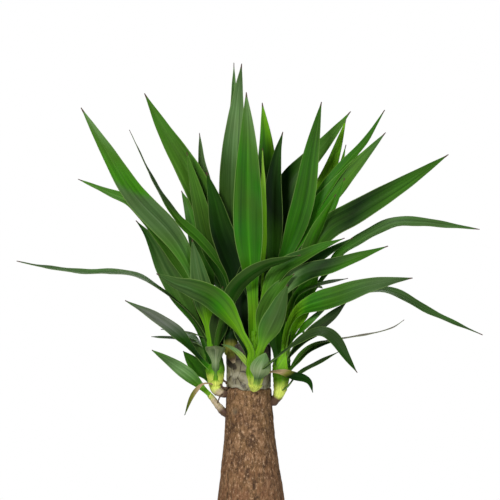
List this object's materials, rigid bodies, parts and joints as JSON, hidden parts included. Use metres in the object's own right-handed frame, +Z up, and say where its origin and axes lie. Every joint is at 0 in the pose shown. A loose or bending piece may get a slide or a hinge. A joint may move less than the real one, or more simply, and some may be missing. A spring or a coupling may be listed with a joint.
{
  "type": "potted yucca",
  "caption": "Potted yucca plant: a thick bark-covered cane with leafy shoots of sword-shaped leaves round its waxed top, standing in soil in a plain tapered clay pot.",
  "frame": {"origin": "middle of the pot's flat base, on the surface that it stands on", "axes": "+Z up along the cane, the front of the plant faces -Y, +X to the right as seen from the front"},
  "size_m": [0.6954, 0.3854, 0.977],
  "materials": {
    "clay": "unglazed fired clay, matt, faint mineral bloom",
    "soil": "loose dark potting soil",
    "bark": "rough flaky brown bark with upright ridges",
    "wax": "weathered grey sealing wax, cracked",
    "leaf": "smooth waxy green leaf, fine lengthwise veins, satin",
    "dry_leaf": "withered tan leaf, papery"
  },
  "bodies": {
    "root": {"pot": "clay", "soil": "soil", "trunk": "bark", "wax_seal": "wax", "shoot_left": "leaf", "shoot_front": "leaf", "shoot_right": "leaf", "shoot_back_left": "leaf", "shoot_back": "leaf", "sprout_low": "leaf", "dry_leaf_left": "dry_leaf", "dry_leaf_right": "dry_leaf"}
  },
  "joints": []
}
